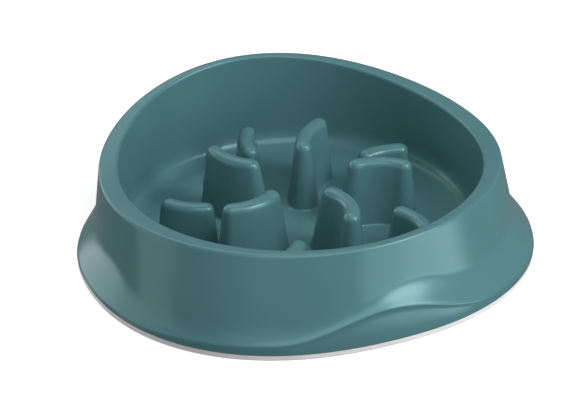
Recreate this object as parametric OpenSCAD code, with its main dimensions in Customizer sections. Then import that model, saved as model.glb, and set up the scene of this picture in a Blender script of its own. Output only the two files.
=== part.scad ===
// Slow feeder bowl: an oval moulding with a tall back, a low front, a flared skirt with a
// finger scoop and ten curved ridges in its well, on a pressed-on non-slip ring.
// The front, with the scoop, looks along -Y and the bowl stands on the plane Z = 0.

/* [Footprint] */
// Length of the footprint, side to side
base_l = 284.4; // [270:0.2:310]
// Depth of the footprint, front to back
base_d = 249; // [240:0.5:275]
// Squareness of the footprint, where 2 is an ellipse
base_power = 2.15; // [2:0.01:2.4]
// Extra squareness of the footprint at its front
base_front_power = 0.07; // [0:0.01:0.3]

/* [Non-slip ring] */
// Height of the ring under the skirt
ring_h = 3.4; // [2.6:0.1:6]
// Width of the ring, from its outer to its inner face
ring_w = 7; // [5:0.5:12]
// Step from the skirt's outer face back to the ring's
ring_step = 0.3; // [0:0.1:1]
// Thickness of the skirt's tongue in the ring's groove
tongue_t = 1.6; // [1:0.1:2]
// Clearance round the tongue in the groove
tongue_gap = 0.1; // [0.05:0.05:0.3]
// Thickness of the ring under the groove
ring_floor_t = 1.2; // [0.8:0.1:1.8]

/* [Skirt] */
// Wall thickness of the moulding
wall_t = 2.2; // [1.8:0.1:2.4]
// Height of the skirt's lip above the ground at the front
lip_front_h = 10.2; // [8:0.1:14]
// Height of the lip at the sides
lip_side_h = 6.1; // [5.6:0.1:12]
// Height of the lip at the back
lip_back_h = 8.4; // [6:0.1:12]
// How far the lip lies inside the footprint at the front
lip_front_in = 0.5; // [0.2:0.1:1.5]
// How far the lip lies inside the footprint at the sides
lip_side_in = 1.6; // [0.2:0.1:2]
// How far the lip lies inside the footprint at the back
lip_back_in = 0.4; // [0.2:0.1:1.5]
// Height of the band's top edge below the lip at the front
lip_drop = 2.4; // [1.5:0.1:3.5]
// Rounding of the lip at the front
lip_front_round = 3; // [1:0.1:4]
// Rounding of the lip at the sides
lip_side_round = 6; // [1:0.1:7]
// Height of the wall's foot above the ground
foot_h = 20.5; // [16:0.5:24]
// Width of the shoulder at the sides
shoulder_side_w = 12.8; // [9:0.2:16]
// Width of the shoulder at the front
shoulder_front_w = 12.5; // [11:0.2:16]
// Width of the shoulder at the back
shoulder_back_w = 1.7; // [1:0.1:8]

/* [Finger scoop] */
// Half of the angle that the scoop spans
scoop_half_turn = 29; // [20:0.5:40]
// Angle from the front to the middle of the scoop
scoop_turn = 1.5; // [-5:0.5:5]
// How much the lip rises over the scoop
scoop_rise = 11; // [4:0.5:14]
// How much the wall's foot rises over the scoop
scoop_foot_rise = 8.5; // [4:0.5:12]
// How far the lip draws in over the scoop
scoop_in = 8.1; // [3:0.1:9]
// How far the scoop's crease lies behind its lip
scoop_undercut = 0.8; // [0.2:0.1:1.5]
// How much deeper the crease lies below the lip in the scoop
scoop_drop = 1.3; // [0:0.1:2]
// How much the scoop's panel bulges
scoop_bulge = 0.7; // [0:0.1:2]

/* [Wall and rim] */
// Inward lean of the wall at the sides, from its foot to the rim
lean_side = 4.4; // [3:0.2:9]
// Inward lean of the wall at the front
lean_front = 10; // [6:0.2:12]
// Inward lean of the wall at the back
lean_back = 0.4; // [0.1:0.1:3]
// Widening of the wall's foot towards the front, as a share of its length
foot_egg_share = 0.03; // [0:0.005:0.05]
// Widening of the rim's outline towards the front, as a share of its length
rim_egg_share = 0.025; // [0:0.005:0.05]
// Height of the rim at the front
rim_front_h = 55.1; // [53:0.1:60]
// Height of the rim at the sides
rim_side_h = 55.7; // [53.5:0.1:66]
// Height of the rim at the back
rim_back_h = 73.8; // [64:0.1:90]
// How steeply the rim climbs behind the sides, as a share of its rise
rim_climb_share = 0.15; // [0:0.01:0.3]
// Width of the rim's top at the sides
rim_side_w = 12.4; // [7:0.2:15]
// Width of the rim's top at the front
rim_front_w = 5.8; // [4.9:0.1:8]
// Width of the rim's top at the back
rim_back_w = 5; // [4.9:0.1:8]
// Fall of the rim's top towards the well
rim_fall = 0.5; // [0:0.1:1]
// Thickness of the rim's top
rim_t = 3.2; // [3:0.1:4]
// Rounding of the rim's outer edge
rim_outer_round = 2; // [0.6:0.1:2.4]
// Rounding of the rim's inner edge
rim_inner_round = 1.8; // [1:0.1:2.4]

/* [Well] */
// Height of the floor above the ground
floor_h = 8.6; // [6.5:0.1:12]
// Draft of the well's wall
well_draft = 2; // [1:0.5:6]
// Rounding between the floor and the wall
well_round = 13; // [8:0.5:16]

/* [Ridges] */
// Distance of the ridges' centre behind the footprint's centre
ridge_y = 3.2; // [0:0.2:6]
// Thickness of a ridge at its top
ridge_top_t = 9.6; // [8.4:0.1:11]
// Rounding of a ridge's top edge
ridge_round = 3.2; // [1.6:0.1:4]
// Rounding between a ridge and the floor
ridge_fillet = 2.4; // [1:0.1:4]
// Draft of a ridge's sides and ends
ridge_draft = 6; // [4:0.5:8]
// Draft of a tall ridge's inner end
tall_in_draft = 11.5; // [8:0.5:13]
// Height of the tall ridges' tops above the ground
tall_h = 51.2; // [42:0.1:52]
// Radius to the inner end of a tall ridge
tall_in_r = 34.4; // [31:0.1:37]
// Radius to the outer end of a tall ridge
tall_out_r = 62.2; // [57:0.1:65]
// Angle of the first tall ridge's inner end, counterclockwise from +X
tall_in_turn = -4.1; // [-8:0.1:0]
// Angle of the first tall ridge's outer end
tall_out_turn = -13.2; // [-16:0.1:-9]
// Bow of a tall ridge to its counterclockwise side
tall_bow = 3.2; // [1:0.1:5]
// Height of the low ridges' tops above the ground
low_h = 37.2; // [28:0.1:44]
// Radius to the inner end of a low ridge
low_in_r = 63; // [61:0.1:67]
// Radius to the outer end of a low ridge
low_out_r = 83.5; // [79:0.1:84.8]
// Angle of the first low ridge's inner end
low_in_turn = 28; // [25:0.1:31]
// Angle of the first low ridge's outer end
low_out_turn = 20; // [17:0.1:23]
// How much further round the third low ridge stands
low_third_turn = 3; // [-3:0.5:6]
// Bow of a low ridge to its counterclockwise side
low_bow = 1.8; // [0.6:0.1:3]

/* [Hidden] */

teal = [0.30, 0.47, 0.49];
pale = [0.86, 0.86, 0.85];
half_turn = 180;
full_turn = 360;

// Power of an ellipse among the ovals
ellipse_power = 2;

// How much of the shoulder and of the wall the rounding at the wall's foot takes, the largest
// part of the shoulder that the lip's rounding takes, and the part of the lip's inset that the
// band's top edge has
foot_in_share = 0.45;
foot_out_share = 0.35;
lip_round_share = 0.45;
band_in_share = 0.5;

// Place of the tongue across the ring's free width
tongue_place_share = 0.2;

// Sections round the bowl, and points along the rounded stretches
around = 84;
steps = 4;
end_steps = 5;
side_steps = 4;
ridge_count = 5;

// How much further each tall ridge reaches towards the centre, as shares of its chord, and
// how much further out each ridge reaches, as shares of the radius to its outer end
tall_reach_shares = [0, 0, 0, 0, 0.2];
tall_out_shares = [0, 0.05, 0, 0, -0.03];
low_out_shares = [0, 0.04, 0, 0, 0];

// How much further round each low ridge stands
low_extra_turns = [0, 0, low_third_turn, 0, 0];

// The ovals that the moulding is lofted through. Each holds its half length, its half depth,
// its middle's distance behind the footprint's middle, its power, the extra power of its
// front, and the share by which its front is wider than its back.
base_oval = [base_l / 2, base_d / 2, 0, base_power, base_front_power, 0];
foot_oval = [base_oval[0] - shoulder_side_w,
             base_oval[1] - (shoulder_front_w + shoulder_back_w) / 2,
             (shoulder_front_w - shoulder_back_w) / 2,
             base_power, 0, foot_egg_share];
rim_oval = [foot_oval[0] - lean_side,
            foot_oval[1] - (lean_front + lean_back) / 2,
            foot_oval[2] + (lean_front - lean_back) / 2,
            ellipse_power, 0, rim_egg_share];
well_oval = [rim_oval[0] - rim_side_w,
             rim_oval[1] - (rim_front_w + rim_back_w) / 2,
             rim_oval[2] + (rim_front_w - rim_back_w) / 2,
             ellipse_power, 0, rim_egg_share];

// The skirt's tongue starts behind the ring's outer wall
tongue_in = ring_step + (ring_w - tongue_t) * tongue_place_share;
tongue_z = ring_floor_t + tongue_gap;
overrun = 1;

// A point of an oval at an angle from the front, drawn in by an inset, at a height
function at(oval, turn, inset, z) =
    let (c = cos(turn), s = sin(turn),
         p = oval[3] + oval[4] * c,
         k = pow(pow(abs(c), p) + pow(abs(s), p), -1 / p))
    [(oval[0] - inset) * s * k * (1 + oval[5] * c), oval[2] - (oval[1] - inset) * c * k, z];

// A point at a distance from one point towards another, and its height set anew
function toward(a, b, d) = a + (b - a) * d / norm(b - a);
function lifted(p, z) = [p[0], p[1], z];

// A rounded corner: a curve from the side that comes in to the side that goes out
function curve(a, c, b, n) =
    [for (i = [0 : n]) let (t = i / n) (1 - t) * (1 - t) * a + 2 * t * (1 - t) * c + t * t * b];
function rounded(a, c, b, d_in, d_out, n) = curve(toward(c, a, d_in), c, toward(c, b, d_out), n);

// A value that goes smoothly round the bowl through its values at the front, sides and back
function between(front, side, back, turn) =
    side + (front - back) / 2 * cos(turn) + ((front + back) / 2 - side) * cos(turn) * cos(turn);

// The rim's height round the bowl
rim_rise = rim_back_h - rim_front_h;
function rim_z(turn) =
    between(rim_front_h, rim_side_h, rim_back_h, turn)
    + rim_rise / 2 * rim_climb_share * (cos(turn) - cos(3 * turn));

// The scoop's wave: 1 at its middle and 0 at its ends and beyond
function from_scoop(turn) =
    let (d = turn - scoop_turn) abs(d > half_turn ? d - full_turn : d);
function wave(turn) =
    from_scoop(turn) > scoop_half_turn ? 0
    : (1 + cos(half_turn * from_scoop(turn) / scoop_half_turn)) / 2;

// Corners of the moulding's section at an angle from the front
function base_at(turn, inset, z) = at(base_oval, turn, inset, z);
function foot_at(turn, inset) = at(foot_oval, turn, inset, foot_h + scoop_foot_rise * wave(turn));
function lip_z(turn) = between(lip_front_h, lip_side_h, lip_back_h, turn);
function lip_in(turn) = between(lip_front_in, lip_side_in, lip_back_in, turn);
function band_drop(turn) = lip_drop * (lip_z(turn) - ring_h) / (lip_front_h - ring_h);

// A point on the way in from the footprint's edge to the wall's foot, at a height
function inward(turn, inset, d, z) =
    toward(base_at(turn, inset, z), lifted(at(foot_oval, turn, inset, 0), z), d);
function lip_at(turn, inset) =
    inward(turn, inset, lip_in(turn) + scoop_in * wave(turn), lip_z(turn) + scoop_rise * wave(turn));
function crease_at(turn, inset) =
    inward(turn, inset,
           lip_in(turn) * band_in_share + (scoop_in + scoop_undercut) * wave(turn),
           lip_z(turn) - band_drop(turn) + (scoop_rise - scoop_drop) * wave(turn));
function rim_at(turn) = at(rim_oval, turn, 0, rim_z(turn));
function brim_at(turn, inset) = at(well_oval, turn, inset, rim_z(turn) - rim_fall);
function floor_corner_at(turn, inset, z) =
    at(well_oval, turn, inset + (rim_z(turn) - floor_h) * tan(well_draft), z);

// The seam under the rim, where the well's wall joins the rim: its inner and its outer edge
function seam_at(turn, inset) =
    let (brim = brim_at(turn, inset), corner = floor_corner_at(turn, inset, floor_h))
    brim + (corner - brim) * rim_t / (brim[2] - corner[2]);

function panel(edge, crease, w) =
    let (middle = (edge + crease) / 2,
         out = [middle[0], middle[1], 0] / norm([middle[0], middle[1], 0]))
    middle + out * scoop_bulge * w;

function shell_section(turn) =
    let (edge = base_at(turn, 0, ring_h),
         crease = crease_at(turn, 0),
         lip = lip_at(turn, 0),
         foot = foot_at(turn, 0),
         rim = rim_at(turn),
         brim = brim_at(turn, 0),
         seam = seam_at(turn, 0),
         seam_out = seam_at(turn, -wall_t),
         shoulder_l = norm(foot - lip),
         lip_round = between(lip_front_round, lip_side_round, lip_front_round, turn),
         wall_l = norm(rim - foot),
         under_rim = at(rim_oval, turn, wall_t, seam_out[2]))
    concat(
        [edge, panel(edge, crease, wave(turn)), crease],
        rounded(crease, lip, foot,
                band_drop(turn) / 2, min(lip_round, shoulder_l * lip_round_share), steps),
        rounded(lip, foot, rim, shoulder_l * foot_in_share, wall_l * foot_out_share, steps + 1),
        rounded(foot, rim, brim, rim_outer_round, rim_outer_round, steps - 1),
        rounded(rim, brim, seam, rim_inner_round, rim_inner_round, steps - 1),
        [seam, seam_out, under_rim,
         foot_at(turn, wall_t),
         lip_at(turn, wall_t),
         crease_at(turn, wall_t),
         base_at(turn, tongue_in + tongue_t, ring_h),
         base_at(turn, tongue_in + tongue_t, tongue_z),
         base_at(turn, tongue_in, tongue_z),
         base_at(turn, tongue_in, ring_h)]);

// Two triangles for each cell between sections, for a loft that closes on itself
function cell(a, b, c, d) = [[a, b, c], [a, c, d]];
module looped_loft(sections) {
    n = len(sections);
    m = len(sections[0]);
    polyhedron(
        points = [for (s = sections) each s],
        faces = [for (i = [0 : n - 1], j = [0 : m - 1])
            let (i2 = (i + 1) % n, j2 = (j + 1) % m)
            each cell(i * m + j, i * m + j2, i2 * m + j2, i2 * m + j)]);
}

// A loft whose sections run from a middle point on top to a middle point underneath
module poled_loft(sections, top, bottom) {
    n = len(sections);
    m = len(sections[0]);
    polyhedron(
        points = concat([for (s = sections) each s], [top, bottom]),
        faces = [for (i = [0 : n - 1])
            let (i2 = (i + 1) % n)
            each concat(
                [[n * m, i2 * m, i * m], [n * m + 1, i * m + m - 1, i2 * m + m - 1]],
                [for (j = [0 : m - 2])
                    each cell(i * m + j, i2 * m + j, i2 * m + j + 1, i * m + j + 1)])]);
}

// A loft through closed outlines, upwards along its outer side
module stacked_loft(outlines) {
    n = len(outlines);
    m = len(outlines[0]);
    polyhedron(
        points = [for (o = outlines) each o],
        faces = concat(
            [[for (i = [0 : m - 1]) i], [for (i = [m - 1 : -1 : 0]) (n - 1) * m + i]],
            [for (l = [0 : n - 2], i = [0 : m - 1])
                let (i2 = (i + 1) % m)
                each cell(l * m + i, (l + 1) * m + i, (l + 1) * m + i2, l * m + i2)]));
}

turns = [for (i = [0 : around - 1]) full_turn * i / around];

module bowl_shell() {
    color(teal)
        looped_loft([for (turn = turns) shell_section(turn)]);
}

function well_section(turn) =
    let (corner = floor_corner_at(turn, 0, floor_h),
         seam = seam_at(turn, 0),
         seam_out = seam_at(turn, -wall_t),
         middle = [0, well_oval[2], floor_h],
         corner_out = floor_corner_at(turn, -wall_t, floor_h - wall_t),
         middle_out = [0, well_oval[2], floor_h - wall_t])
    concat(
        rounded(middle, corner, seam, well_round, well_round, steps + 2),
        [seam, seam_out],
        rounded(seam_out, corner_out, middle_out, well_round + wall_t, well_round + wall_t, steps));

module well_body() {
    poled_loft([for (turn = turns) well_section(turn)],
               [0, well_oval[2], floor_h], [0, well_oval[2], floor_h - wall_t]);
}

module feeding_well() {
    color(teal)
        difference() {
            well_body();
            for (i = [0 : ridge_count - 1]) {
                stacked_loft(body_outlines(tall_spec(i), overrun));
                stacked_loft(body_outlines(low_spec(i), overrun));
            }
        }
}

// A ridge: its two ends, its bow, the height of its top, its extra reach towards the centre
// and the draft of its inner end
function polar(r, turn) = [r * cos(turn), ridge_y + r * sin(turn)];
function tall_spec(i) =
    let (step = i * full_turn / ridge_count,
         out_r = tall_out_r * (1 + tall_out_shares[i]))
    [polar(tall_in_r, tall_in_turn + step), polar(out_r, tall_out_turn + step),
     tall_bow, tall_h, tall_reach_shares[i], tall_in_draft];
function low_spec(i) =
    let (step = i * full_turn / ridge_count + low_extra_turns[i],
         out_r = low_out_r * (1 + low_out_shares[i]))
    [polar(low_in_r, low_in_turn + step), polar(out_r, low_out_turn + step),
     low_bow, low_h, 0, ridge_draft];

// The outline of a ridge at a height: a bent bar with round ends, drawn counterclockwise.
// The reach lengthens it at its inner end.
function ridge_outline(spec, half_t, reach, z) =
    let (chord = norm(spec[1] - spec[0]),
         along = (spec[1] - spec[0]) / chord,
         side = [-along[1], along[0]],
         bow = spec[2],
         r = (chord * chord / 4 + bow * bow) / (2 * bow),
         hub = (spec[0] + spec[1]) / 2 + side * (bow - r),
         mid = atan2(side[1], side[0]),
         half_span = asin(chord / 2 / r),
         turn_out = mid - half_span,
         turn_in = mid + half_span + reach / r * half_turn / PI,
         end_out = hub + r * [cos(turn_out), sin(turn_out)],
         end_in = hub + r * [cos(turn_in), sin(turn_in)])
    [each [for (i = [0 : side_steps])
        let (t = turn_out + (turn_in - turn_out) * i / side_steps)
        [hub[0] + (r + half_t) * cos(t), hub[1] + (r + half_t) * sin(t), z]],
     each [for (i = [1 : end_steps - 1])
        let (t = turn_in + half_turn * i / end_steps)
        [end_in[0] + half_t * cos(t), end_in[1] + half_t * sin(t), z]],
     each [for (i = [0 : side_steps])
        let (t = turn_in + (turn_out - turn_in) * i / side_steps)
        [hub[0] + (r - half_t) * cos(t), hub[1] + (r - half_t) * sin(t), z]],
     each [for (i = [1 : end_steps - 1])
        let (t = turn_out - half_turn + half_turn * i / end_steps)
        [end_out[0] + half_t * cos(t), end_out[1] + half_t * sin(t), z]]];

// Half of a ridge's thickness at a depth below its top, and its inner end's extra draft
function half_at(depth) = ridge_top_t / 2 + depth * tan(ridge_draft);
function reach_at(spec, depth) =
    norm(spec[1] - spec[0]) * spec[4] + depth * (tan(spec[5]) - tan(ridge_draft));

// The ridge's section, as half thicknesses and heights, from the floor's underside to the top
function ridge_profile(top, below) =
    let (depth = top - floor_h,
         foot = [half_at(depth), floor_h],
         shoulder = [half_at(0), top],
         out = [half_at(depth) + ridge_fillet, floor_h],
         in = [0, top])
    concat(
        [[out[0], floor_h - wall_t - below]],
        rounded(out, foot, shoulder, ridge_fillet, ridge_fillet, steps - 1),
        rounded(foot, shoulder, in, ridge_round, ridge_round, steps - 1));

// The outlines of a ridge's hollow from its top down to the underside, and of its body from
// there, or from below it, up to the top
function hollow_outlines(spec) =
    [for (depth = [wall_t, spec[3] - floor_h + wall_t])
        ridge_outline(spec, half_at(depth) - wall_t, reach_at(spec, depth), spec[3] - depth)];
function body_outlines(spec, below) =
    [for (p = ridge_profile(spec[3], below))
        ridge_outline(spec, p[0], reach_at(spec, min(spec[3] - p[1], spec[3] - floor_h)), p[1])];

module ridge(spec) {
    color(teal)
        stacked_loft(concat(hollow_outlines(spec), body_outlines(spec, 0)));
}

module tall_ridge(i) {
    ridge(tall_spec(i));
}

module low_ridge(i) {
    ridge(low_spec(i));
}

// A flat outline of the footprint, drawn in by an inset
module footprint(inset) {
    polygon([for (turn = turns) let (p = base_at(turn, inset, 0)) [p[0], p[1]]]);
}

module base_ring() {
    color(pale)
        difference() {
            linear_extrude(ring_h)
                difference() {
                    footprint(ring_step);
                    footprint(ring_step + ring_w);
                }
            translate([0, 0, ring_floor_t])
                linear_extrude(ring_h)
                    difference() {
                        footprint(tongue_in - tongue_gap);
                        footprint(tongue_in + tongue_t + tongue_gap);
                    }
        }
}

bowl_shell();
feeding_well();
base_ring();
tall_ridge(0);  // tall_ridge_1
tall_ridge(1);  // tall_ridge_2
tall_ridge(2);  // tall_ridge_3
tall_ridge(3);  // tall_ridge_4
tall_ridge(4);  // tall_ridge_5
low_ridge(0);  // low_ridge_1
low_ridge(1);  // low_ridge_2
low_ridge(2);  // low_ridge_3
low_ridge(3);  // low_ridge_4
low_ridge(4);  // low_ridge_5
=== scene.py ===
from math import asin, atan2, cos, pi, radians, sin, tan

import bmesh
import bpy
from mathutils import Matrix, Vector


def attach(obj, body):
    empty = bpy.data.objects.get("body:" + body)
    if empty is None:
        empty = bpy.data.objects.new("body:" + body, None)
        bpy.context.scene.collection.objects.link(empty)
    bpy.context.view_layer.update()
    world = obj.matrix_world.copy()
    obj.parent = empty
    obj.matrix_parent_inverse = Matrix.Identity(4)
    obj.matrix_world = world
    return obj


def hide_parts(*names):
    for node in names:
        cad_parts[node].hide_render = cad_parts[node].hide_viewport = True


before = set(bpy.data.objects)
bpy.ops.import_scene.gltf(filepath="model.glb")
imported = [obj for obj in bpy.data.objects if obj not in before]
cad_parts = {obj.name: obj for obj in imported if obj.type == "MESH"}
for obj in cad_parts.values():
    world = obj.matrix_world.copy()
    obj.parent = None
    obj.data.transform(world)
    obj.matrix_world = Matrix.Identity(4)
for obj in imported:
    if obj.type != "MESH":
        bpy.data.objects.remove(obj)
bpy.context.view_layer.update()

# Slow feeder bowl. Sizes are in millimetres, and every piece is put into its mesh in metres.
# The front, with the finger scoop, looks along -Y.
mm = 0.001
spokes = 288  # sections round the bowl
smoothAngle = radians(35)
roundSteps = {"edge": 3, "lip": 10, "foot": 14, "rim": 10, "nonSlip": 5, "wellInside": 24,
              "wellOutside": 14, "hollow": 4, "fillet": 10, "ridgeTop": 12}


def onOval(oval, turn, inset, z):
    # a point at an angle from the front, drawn in by an inset, at a height
    c, s = cos(turn), sin(turn)
    power = oval["power"] + oval["frontPower"] * c
    k = (abs(c) ** power + abs(s) ** power) ** (-1 / power)
    return Vector(((oval["halfLength"] - inset) * s * k * (1 + oval["egg"] * c),
                   oval["middle"] - (oval["halfDepth"] - inset) * c * k, z))


def between(front, side, back, turn):
    # goes smoothly round the bowl through the front's, the sides' and the back's values
    c = cos(turn)
    return side + (front - back) / 2 * c + ((front + back) / 2 - side) * c * c


def toward(a, b, distance):
    return a + (b - a).normalized() * distance


def lifted(point, z):
    return Vector((point.x, point.y, z))


def curve(a, corner, b, count):
    # a bend from a to b that is drawn to the corner
    return [a * (1 - t) ** 2 + corner * 2 * t * (1 - t) + b * t * t
            for t in (i / count for i in range(count + 1))]


def rounded(a, corner, b, reachIn, reachOut, count):
    # the corner's bend, which starts and ends at a reach from the corner
    return curve(toward(corner, a, reachIn), corner, toward(corner, b, reachOut), count)


def deselectAll():
    if bpy.context.mode != "OBJECT":
        bpy.ops.object.mode_set(mode="OBJECT")
    bpy.ops.object.select_all(action="DESELECT")


def pickOnly(piece):
    deselectAll()
    piece.select_set(True)
    bpy.context.view_layer.objects.active = piece


def placeRing(piece, ring):
    # the selected points go to their places on the ring
    mesh = bmesh.from_edit_mesh(piece.data)
    spoke = mesh.verts.layers.int["spoke"]
    for point in mesh.verts:
        if point.select:
            point.co = ring[point[spoke]] * mm
    bmesh.update_edit_mesh(piece.data)


def extrudeRings(name, rings, closesOnItself=False):
    # a circle, extruded ring by ring and then closed at its ends or onto its own start
    deselectAll()
    first = rings[0]
    middle = sum(first, Vector()) / len(first)
    radius = max((point - middle).length for point in first)
    bpy.ops.mesh.primitive_circle_add(vertices=len(first), radius=radius * mm, location=middle * mm)
    piece = bpy.context.object
    piece.name = piece.data.name = name
    bpy.ops.object.transform_apply(location=True, rotation=True, scale=True)
    bpy.ops.object.mode_set(mode="EDIT")
    mesh = bmesh.from_edit_mesh(piece.data)
    spoke = mesh.verts.layers.int.new("spoke")
    mesh.verts.ensure_lookup_table()
    for number, point in enumerate(mesh.verts):
        point[spoke] = number
    bmesh.update_edit_mesh(piece.data)
    bpy.ops.mesh.select_all(action="SELECT")
    placeRing(piece, first)
    for ring in rings[1:]:
        bpy.ops.mesh.extrude_region_move()
        placeRing(piece, ring)
    bpy.ops.mesh.select_all(action="DESELECT")
    bpy.ops.mesh.select_mode(type="EDGE")
    bpy.ops.mesh.select_non_manifold()
    if closesOnItself:
        bpy.ops.mesh.bridge_edge_loops()
    else:
        bpy.ops.mesh.fill_holes(sides=0)
    bpy.ops.mesh.select_mode(type="VERT")
    bpy.ops.mesh.select_all(action="SELECT")
    bpy.ops.mesh.normals_make_consistent(inside=False)
    if bmesh.from_edit_mesh(piece.data).calc_volume(signed=True) < 0:
        bpy.ops.mesh.flip_normals()  # a loft that closes on itself can come out inside out
    bpy.ops.object.mode_set(mode="OBJECT")
    return piece


def ringsFrom(sections):
    # sections run across the moulding, rings run round it
    return [list(ring) for ring in zip(*sections)]


def finishPiece(piece, material, node):
    pickOnly(piece)
    bpy.ops.object.shade_smooth_by_angle(angle=smoothAngle)
    piece.data.materials.clear()
    piece.data.materials.append(material)
    if "spoke" in piece.data.attributes:
        piece.data.attributes.remove(piece.data.attributes["spoke"])
    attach(piece, "root")
    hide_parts(node)


def newMaterial(name):
    material = bpy.data.materials.new(name)
    material.use_nodes = True
    nodes, links = material.node_tree.nodes, material.node_tree.links
    shader = nodes["Principled BSDF"]
    place = nodes.new("ShaderNodeTexCoord").outputs["Object"]
    return material, nodes, links, shader, place


def noise(nodes, links, place, scale, detail):
    cloud = nodes.new("ShaderNodeTexNoise")
    cloud.inputs["Scale"].default_value = scale
    cloud.inputs["Detail"].default_value = detail
    links.new(place, cloud.inputs["Vector"])
    return cloud.outputs["Fac"]


def ramp(nodes, links, factor, low, high, start=0.3, end=0.7):
    colours = nodes.new("ShaderNodeValToRGB")
    first, last = colours.color_ramp.elements
    first.position, first.color = start, (*low, 1)
    last.position, last.color = end, (*high, 1)
    links.new(factor, colours.inputs["Fac"])
    return colours.outputs["Color"]


def mapRange(nodes, links, value, low, high, start=0.3, end=0.7):
    ranged = nodes.new("ShaderNodeMapRange")
    ranged.inputs["From Min"].default_value, ranged.inputs["From Max"].default_value = start, end
    ranged.inputs["To Min"].default_value, ranged.inputs["To Max"].default_value = low, high
    links.new(value, ranged.inputs["Value"])
    return ranged.outputs["Result"]


def bump(nodes, links, height, distance, strength):
    bumps = nodes.new("ShaderNodeBump")
    bumps.inputs["Distance"].default_value = distance
    bumps.inputs["Strength"].default_value = strength
    links.new(height, bumps.inputs["Height"])
    return bumps.outputs["Normal"]


tealPlastic = {
    "dark": (0.066, 0.168, 0.181), "light": (0.073, 0.182, 0.196),
    "cloudScale": 18, "cloudDetail": 3,
    "roughLow": 0.23, "roughHigh": 0.27, "smearScale": 45, "smearDetail": 4,
    "grainScale": 2600, "grainDetail": 2, "grainDepth": 0.00002, "grainStrength": 0.12,
    "specular": 0.5, "tint": (0.64, 1, 1), "ior": 1.49,
}
paleRubber = {
    "dark": (0.80, 0.78, 0.79), "light": (0.88, 0.86, 0.87),
    "cloudScale": 60, "cloudDetail": 3,
    "roughLow": 0.58, "roughHigh": 0.72, "smearScale": 120, "smearDetail": 4,
    "grainScale": 1800, "grainDetail": 2, "grainDepth": 0.00004, "grainStrength": 0.3,
    "specular": 0.4, "tint": (1, 1, 1), "ior": 1.5,
}


def mouldedFinish(name, look):
    # a faintly clouded colour, a smeared sheen and a fine grain
    material, nodes, links, shader, place = newMaterial(name)
    cloud = noise(nodes, links, place, look["cloudScale"], look["cloudDetail"])
    links.new(ramp(nodes, links, cloud, look["dark"], look["light"]), shader.inputs["Base Color"])
    smear = noise(nodes, links, place, look["smearScale"], look["smearDetail"])
    links.new(mapRange(nodes, links, smear, look["roughLow"], look["roughHigh"]),
              shader.inputs["Roughness"])
    grain = noise(nodes, links, place, look["grainScale"], look["grainDetail"])
    links.new(bump(nodes, links, grain, look["grainDepth"], look["grainStrength"]),
              shader.inputs["Normal"])
    shader.inputs["Specular IOR Level"].default_value = look["specular"]
    shader.inputs["Specular Tint"].default_value = (*look["tint"], 1)
    shader.inputs["IOR"].default_value = look["ior"]
    return material


teal = mouldedFinish("tealPlastic", tealPlastic)
rubber = mouldedFinish("paleRubber", paleRubber)
print("materials made")

# The outer shell, with its rim and flared skirt. Where a size has three values, they are the
# front's, the sides' and the back's.
nonSlip = {"height": 3.4, "width": 7, "step": 0.3, "tongue": 1.6, "gap": 0.1, "floor": 1.2,
           "tonguePlace": 0.2, "edgeRound": 0.45}
baseOval = {"halfLength": 142.2, "halfDepth": 124.5, "middle": 0, "power": 2.15,
            "frontPower": 0.07, "egg": 0}
footOval = {"halfLength": 129.4, "halfDepth": 117.4, "middle": 5.4, "power": 2.15,
            "frontPower": 0, "egg": 0.03}
rimOval = {"halfLength": 125, "halfDepth": 112.2, "middle": 10.2, "power": 2,
           "frontPower": 0, "egg": 0.025}
wellOval = {"halfLength": 112.6, "halfDepth": 106.8, "middle": 10.6, "power": 2,
            "frontPower": 0, "egg": 0.025}
shell = {
    "wall": 2.2, "footHeight": 20.5,
    "rimHeight": (55.1, 55.7, 73.77), "rimClimb": 0.15, "rimFall": 0.5, "rimThickness": 3.2,
    "rimOuterRound": 2, "rimInnerRound": 1.8,
    "lipHeight": (10.2, 6.1, 8.4), "lipInset": (0.5, 1.6, 0.4), "lipRound": (3, 6, 3),
    "lipDrop": 2.4, "lipRoundShare": 0.27, "bandInShare": 0.5,
    "footInShare": 0.72, "footOutShare": 0.17,
    "edgeRound": 0.35, "edgeStart": 1, "panelSteps": 8,
}
scoop = {"halfTurn": radians(29), "turn": radians(1.5), "rise": 11.9,
         "inset": 4.4, "undercut": 0.6, "drop": -0.2, "bulge": 0.7, "lipRound": 1.3}
# The skirt flares least between the front and the left side.
flare = {"least": 0.32, "turn": radians(-33), "halfTurn": radians(50), "fade": radians(26)}
well = {"floorHeight": 8.6, "draft": radians(2), "round": 13}
tongueIn = nonSlip["step"] + (nonSlip["width"] - nonSlip["tongue"]) * nonSlip["tonguePlace"]
tongueZ = nonSlip["floor"] + nonSlip["gap"]


def scoopWave(turn):
    # 1 at the middle of the scoop, falling to 0 at its ends
    away = abs((turn - scoop["turn"] + pi) % (2 * pi) - pi)
    return 0 if away > scoop["halfTurn"] else (1 + cos(pi * away / scoop["halfTurn"])) / 2


def rimZ(turn):
    # higher than a plain wave beside the front and lower beside the back
    front, side, back = shell["rimHeight"]
    climb = (back - front) / 2 * shell["rimClimb"] * (cos(turn) - cos(3 * turn))
    return between(front, side, back, turn) + climb


def inward(turn, inset, distance, z):
    # a point at a distance from the base's edge towards the wall's foot
    return toward(onOval(baseOval, turn, inset, z), onOval(footOval, turn, inset, z), distance)


def lipAt(turn, inset, wave):
    return inward(turn, inset, between(*shell["lipInset"], turn) + scoop["inset"] * wave,
                  between(*shell["lipHeight"], turn) + scoop["rise"] * wave)


def bandDrop(turn):
    # how far the crease lies below the lip
    base = nonSlip["height"]
    lip = between(*shell["lipHeight"], turn)
    return shell["lipDrop"] * (lip - base) / (shell["lipHeight"][0] - base)


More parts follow.
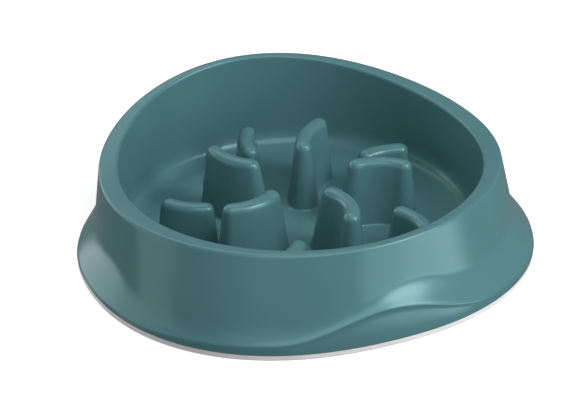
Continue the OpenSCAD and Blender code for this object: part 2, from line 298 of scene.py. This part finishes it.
def creaseAt(turn, inset):
    wave = scoopWave(turn)
    bandIn = between(*shell["lipInset"], turn) * shell["bandInShare"]
    return inward(turn, inset, bandIn + (scoop["inset"] + scoop["undercut"]) * wave,
                  between(*shell["lipHeight"], turn) - bandDrop(turn)
                  + (scoop["rise"] - scoop["drop"]) * wave)


def footAt(turn, inset):
    away = abs((turn - flare["turn"] + pi) % (2 * pi) - pi)
    t = min(1, max(0, (flare["halfTurn"] - away) / flare["fade"]))  # 1 well inside the turn
    share = 1 - (1 - flare["least"]) * t * t * (3 - 2 * t)
    whole = onOval(footOval, turn, inset, shell["footHeight"]) - lipAt(turn, inset, 0)
    return lipAt(turn, inset, scoopWave(turn)) + whole * share


def floorCornerAt(turn, inset, z):
    slope = (rimZ(turn) - well["floorHeight"]) * tan(well["draft"])
    return onOval(wellOval, turn, inset + slope, z)


def seamAt(turn, inset):
    # where the well's wall joins the underside of the rim
    brim = onOval(wellOval, turn, inset, rimZ(turn) - shell["rimFall"])
    corner = floorCornerAt(turn, inset, well["floorHeight"])
    return brim + (corner - brim) * shell["rimThickness"] / (brim.z - corner.z)


def shellSection(turn):
    wave, base, wall = scoopWave(turn), nonSlip["height"], shell["wall"]
    edge, crease = onOval(baseOval, turn, 0, base), creaseAt(turn, 0)
    lip, foot, rim = lipAt(turn, 0, wave), footAt(turn, 0), onOval(rimOval, turn, 0, rimZ(turn))
    brim = onOval(wellOval, turn, 0, rimZ(turn) - shell["rimFall"])
    seam, seamOut = seamAt(turn, 0), seamAt(turn, -wall)
    shoulderLength, wallLength = (foot - lip).length, (rim - foot).length
    lipRound = min(between(*shell["lipRound"], turn), shoulderLength * shell["lipRoundShare"])
    lipRound += (scoop["lipRound"] - lipRound) * wave
    outward = Vector((edge.x, edge.y, 0)).normalized()
    panel = [edge.lerp(crease, t) + outward * scoop["bulge"] * wave * sin(pi * t)
             for t in (i / shell["panelSteps"] for i in range(1, shell["panelSteps"]))]
    behindEdge = onOval(baseOval, turn, shell["edgeStart"], base)
    edgeRound, outerRound, innerRound = (
        shell[key] for key in ("edgeRound", "rimOuterRound", "rimInnerRound"))
    return (rounded(behindEdge, edge, panel[0], edgeRound, edgeRound, roundSteps["edge"])
            + panel + [crease]
            + rounded(crease, lip, foot, min(bandDrop(turn), lipRound) / 2, lipRound,
                      roundSteps["lip"])
            + rounded(lip, foot, rim, shoulderLength * shell["footInShare"],
                      wallLength * shell["footOutShare"], roundSteps["foot"])
            + rounded(foot, rim, brim, outerRound, outerRound, roundSteps["rim"])
            + rounded(rim, brim, seam, innerRound, innerRound, roundSteps["rim"])
            + [seam, seamOut, onOval(rimOval, turn, wall, seamOut.z),
               footAt(turn, wall), lipAt(turn, wall, wave), creaseAt(turn, wall),
               onOval(baseOval, turn, tongueIn + nonSlip["tongue"], base),
               onOval(baseOval, turn, tongueIn + nonSlip["tongue"], tongueZ),
               onOval(baseOval, turn, tongueIn, tongueZ),
               onOval(baseOval, turn, tongueIn, base)])


turns = [2 * pi * i / spokes for i in range(spokes)]
bowlShell = extrudeRings("bowlShell", ringsFrom([shellSection(turn) for turn in turns]),
                         closesOnItself=True)
finishPiece(bowlShell, teal, "bowl_shell")
print("shell made:", len(bowlShell.data.polygons), "faces")


def nonSlipSection(turn):
    height, r, steps = nonSlip["height"], nonSlip["edgeRound"], roundSteps["nonSlip"]
    outer, inner = nonSlip["step"], nonSlip["step"] + nonSlip["width"]
    grooveIn = tongueIn - nonSlip["gap"]
    grooveOut = tongueIn + nonSlip["tongue"] + nonSlip["gap"]

    def on(inset, z):
        return onOval(baseOval, turn, inset, z)

    return (rounded(on(inner, 0), on(outer, 0), on(outer, height), r, r, steps)
            + rounded(on(outer, 0), on(outer, height), on(grooveIn, height), r, r, steps)
            + [on(grooveIn, height), on(grooveIn, nonSlip["floor"]),
               on(grooveOut, nonSlip["floor"]), on(grooveOut, height)]
            + rounded(on(grooveOut, height), on(inner, height), on(inner, 0), r, r, steps)
            + rounded(on(inner, height), on(inner, 0), on(outer, 0), r, r, steps))


nonSlipRing = extrudeRings("nonSlipRing", ringsFrom([nonSlipSection(turn) for turn in turns]),
                           closesOnItself=True)
finishPiece(nonSlipRing, rubber, "base_ring")
print("non-slip ring made:", len(nonSlipRing.data.polygons), "faces")


def wellSection(turn):
    z, wall = well["floorHeight"], shell["wall"]
    corner, seam, seamOut = floorCornerAt(turn, 0, z), seamAt(turn, 0), seamAt(turn, -wall)
    middle = Vector((0, wellOval["middle"], z))
    cornerOut = floorCornerAt(turn, -wall, z - wall)
    outRound = well["round"] + wall
    return (rounded(middle, corner, seam, well["round"], well["round"], roundSteps["wellInside"])
            + [seam, seamOut]
            + rounded(seamOut, cornerOut, lifted(middle, z - wall), outRound, outRound,
                      roundSteps["wellOutside"]))


feedingWell = extrudeRings("feedingWell", ringsFrom([wellSection(turn) for turn in turns]))
print("well made:", len(feedingWell.data.polygons), "faces")

# The ridges stand in two rings of five. A reach is a share of the ridge's length at its inner
# end, and of the radius at its outer end.
ridge = {
    "centre": 3.2, "count": 5, "topThickness": 9.6, "topRound": 4.7, "draft": radians(6),
    "fillet": 2, "flange": 0.3, "flangeDepth": 0.02, "seatHeight": 8, "hollowRound": 0.8,
    "sidePoints": 18, "endPoints": 18, "cutDepth": 12,
}
tallRidge = {
    "height": 51.2, "innerRadius": 34.4, "outerRadius": 62.2, "innerTurn": radians(-4.1),
    "outerTurn": radians(-13.2), "bow": 3.2, "innerDraft": radians(11.5),
    "innerReach": (0, 0, 0, 0, 0.2), "outerReach": (0, 0.05, 0, 0, -0.03),
    "extraTurn": (0, 0, 0, 0, 0),
}
lowRidge = {
    "height": 37.2, "innerRadius": 63, "outerRadius": 83.5, "innerTurn": radians(28),
    "outerTurn": radians(20), "bow": 1.8, "innerDraft": radians(6),
    "innerReach": (0, 0, 0, 0, 0), "outerReach": (0, 0.04, 0, 0, 0),
    "extraTurn": (0, 0, radians(3), 0, 0),
}


def polar(radius, turn):
    return Vector((radius * cos(turn), ridge["centre"] + radius * sin(turn), 0))


def ridgeRing(form, number, half, z):
    # a bent bar with round ends, at a height
    inner = polar(form["innerRadius"], form["innerTurn"])
    outer = polar(form["outerRadius"] * (1 + form["outerReach"][number]), form["outerTurn"])
    chord = (outer - inner).length
    depth = min(form["height"] - z, form["height"] - well["floorHeight"])
    reach = (chord * form["innerReach"][number]
             + depth * (tan(form["innerDraft"]) - tan(ridge["draft"])))
    along = (outer - inner) / chord
    side = Vector((-along.y, along.x, 0))
    bow = form["bow"]
    r = (chord ** 2 / 4 + bow ** 2) / (2 * bow)
    hub = (inner + outer) / 2 + side * (bow - r)
    middleTurn, halfSpan = atan2(side.y, side.x), asin(chord / 2 / r)
    turnOut, turnIn = middleTurn - halfSpan, middleTurn + halfSpan + reach / r

    def onArc(centre, radius, turn):
        return Vector((centre.x + radius * cos(turn), centre.y + radius * sin(turn), z))

    sides, ends = ridge["sidePoints"], ridge["endPoints"]
    endIn, endOut = onArc(hub, r, turnIn), onArc(hub, r, turnOut)
    swing = turnIn - turnOut
    return ([onArc(hub, r + half, turnOut + swing * i / sides) for i in range(sides + 1)]
            + [onArc(endIn, half, turnIn + pi * i / ends) for i in range(1, ends)]
            + [onArc(hub, r - half, turnIn - swing * i / sides) for i in range(sides + 1)]
            + [onArc(endOut, half, turnOut - pi + pi * i / ends) for i in range(1, ends)])


def halfAt(depth):
    return ridge["topThickness"] / 2 + depth * tan(ridge["draft"])


def holeHalf(form):
    return halfAt(form["height"] - well["floorHeight"]) + ridge["fillet"] - ridge["flange"]


def ridgeProfile(form):
    # half thicknesses and heights, from the hollow's top down to the underside and up outside
    top, floorZ, wall = form["height"], well["floorHeight"], shell["wall"]
    depth = top - floorZ
    flange = Vector((halfAt(depth) + ridge["fillet"], floorZ, 0))
    foot, shoulder = Vector((halfAt(depth), floorZ, 0)), Vector((halfAt(0), top, 0))
    hollowTop = Vector((halfAt(wall) - wall, top - wall, 0))
    hollowFoot = Vector((halfAt(depth + wall) - wall, floorZ - wall, 0))
    return (rounded(Vector((0, top - wall, 0)), hollowTop, hollowFoot,
                    ridge["hollowRound"], ridge["hollowRound"], roundSteps["hollow"])
            + [hollowFoot, Vector((holeHalf(form), floorZ - wall, 0)),
               Vector((holeHalf(form), floorZ - ridge["flangeDepth"], 0))]
            + rounded(flange, foot, shoulder, ridge["fillet"], ridge["fillet"],
                      roundSteps["fillet"])
            + rounded(foot, shoulder, Vector((0, top, 0)), ridge["topRound"], ridge["topRound"],
                      roundSteps["ridgeTop"]))


def turnedCopy(piece, name, turn):
    # a copy with its own mesh, turned about the middle of the rings of ridges
    copy = piece.copy()
    copy.data = piece.data.copy()
    copy.name = copy.data.name = name
    bpy.context.collection.objects.link(copy)
    centre = Matrix.Translation(Vector((0, ridge["centre"] * mm, 0)))
    copy.data.transform(centre @ Matrix.Rotation(turn, 4, "Z") @ centre.inverted())
    return copy


def seatOnWell(piece):
    # a ridge's foot follows the well where the floor already rises to the wall
    bpy.context.view_layer.update()
    for point in piece.data.vertices:
        height = point.co.z / mm - well["floorHeight"]
        if height < ridge["seatHeight"]:
            above = lifted(point.co, shell["rimHeight"][2] * mm)
            _, place, _, _ = feedingWell.ray_cast(above, Vector((0, 0, -1)))
            rise = place.z - well["floorHeight"] * mm
            point.co.z += rise * min(1, 1 - height / ridge["seatHeight"])


ridgePieces, cutters = [], []
for kind, form in (("tall", tallRidge), ("low", lowRidge)):
    patterns = {}
    for number in range(ridge["count"]):
        reaches = form["innerReach"][number], form["outerReach"][number]
        if reaches not in patterns:
            rings = [ridgeRing(form, number, p.x, p.y) for p in ridgeProfile(form)]
            hole = [ridgeRing(form, number, holeHalf(form), well["floorHeight"])] * 2
            ends = (-ridge["cutDepth"], ridge["cutDepth"])
            patterns[reaches] = (
                extrudeRings(kind + "Pattern", rings),
                extrudeRings(kind + "Hole", [[p + Vector((0, 0, end)) for p in ring]
                                             for ring, end in zip(hole, ends)]))
        pattern, holePattern = patterns[reaches]
        turn = 2 * pi * number / ridge["count"] + form["extraTurn"][number]
        piece = turnedCopy(pattern, f"{kind}Ridge{number + 1}", turn)
        seatOnWell(piece)
        ridgePieces.append((f"{kind}_ridge_{number + 1}", piece))
        cutters.append(turnedCopy(holePattern, "footCutter", turn))
    for pattern in (piece for pair in patterns.values() for piece in pair):
        bpy.data.objects.remove(pattern)

for cutter in cutters:
    pickOnly(feedingWell)
    bpy.ops.object.modifier_add(type="BOOLEAN")
    cut = feedingWell.modifiers[-1]
    cut.object, cut.operation, cut.solver = cutter, "DIFFERENCE", "EXACT"
    bpy.ops.object.modifier_apply(modifier=cut.name)
    bpy.data.objects.remove(cutter)
finishPiece(feedingWell, teal, "feeding_well")
for node, piece in ridgePieces:
    finishPiece(piece, teal, node)
print("ridges made:", len(ridgePieces), "pieces")

# Lights turn round the bowl from the front toward its right side, and sizes are in metres.
studio = {
    "floor": (0.93, 0.93, 0.93), "floorRoughness": 0.9, "floorSize": 12, "floorGap": 0.0001,
    "floorGlow": 0.4,  # softens the shadow
    "world": (1, 1, 1), "worldStrength": 0.2,
    "lights": {
        "key": {"turn": 45, "rise": 40, "size": 0.8, "power": 15.2},
        "high": {"turn": 0, "rise": 62, "size": 1.2, "power": 8.6},
        "low": {"turn": 30, "rise": 13, "size": 0.8, "power": 3.3},
        "lowRight": {"turn": 50, "rise": 3, "size": 0.7, "power": 4.9},
        "left": {"turn": -100, "rise": 12, "size": 1.2, "power": 4.2},
        "frontLeft": {"turn": -30, "rise": 38, "size": 0.9, "power": 1.3},
        "backLow": {"turn": 215, "rise": 14, "size": 1.4, "power": 10},
        "backHigh": {"turn": 180, "rise": 58, "size": 1.2, "power": 4.4},
    },
    "lightReach": 1.6, "lightAim": (0, 0, 0.03),
    "cameraPlace": (-0.4498, -1.05, 0.6929), "cameraAim": (0.0025, 0.0447, 0),
    "lens": 136.95, "sensorWidth": 36,
}


def aimed(target, place):
    return (Vector(target) - Vector(place)).to_track_quat("-Z", "Y").to_euler()


deselectAll()
bpy.ops.mesh.primitive_plane_add(size=studio["floorSize"], location=(0, 0, -studio["floorGap"]))
floor = bpy.context.object
floor.name = "studioFloor"
floorMaterial, _, _, shader, _ = newMaterial("paleFloor")
shader.inputs["Base Color"].default_value = (*studio["floor"], 1)
shader.inputs["Roughness"].default_value = studio["floorRoughness"]
shader.inputs["Emission Color"].default_value = (1, 1, 1, 1)
shader.inputs["Emission Strength"].default_value = studio["floorGlow"]
floor.data.materials.append(floorMaterial)
# The floor's bounce would light the skirt too much from below.
floor.visible_diffuse = floor.visible_glossy = False

for name, light in studio["lights"].items():
    turn, rise = radians(light["turn"]), radians(light["rise"])
    direction = Vector((sin(turn) * cos(rise), -cos(turn) * cos(rise), sin(rise)))
    place = direction * studio["lightReach"]
    bpy.ops.object.light_add(type="AREA", location=place)
    lamp = bpy.context.object
    lamp.name = name + "Light"
    lamp.data.shape, lamp.data.size, lamp.data.energy = "DISK", light["size"], light["power"]
    lamp.rotation_euler = aimed(studio["lightAim"], place)

world = bpy.data.worlds.new("studioWorld")
bpy.context.scene.world = world
world.use_nodes = True
world.node_tree.nodes["Background"].inputs["Color"].default_value = (*studio["world"], 1)
world.node_tree.nodes["Background"].inputs["Strength"].default_value = studio["worldStrength"]

bpy.ops.object.camera_add(location=studio["cameraPlace"])
camera = bpy.context.object
camera.rotation_euler = aimed(studio["cameraAim"], studio["cameraPlace"])
camera.data.lens, camera.data.sensor_width = studio["lens"], studio["sensorWidth"]
bpy.context.scene.camera = camera
bpy.context.scene.view_settings.view_transform = "Standard"
print("studio set")
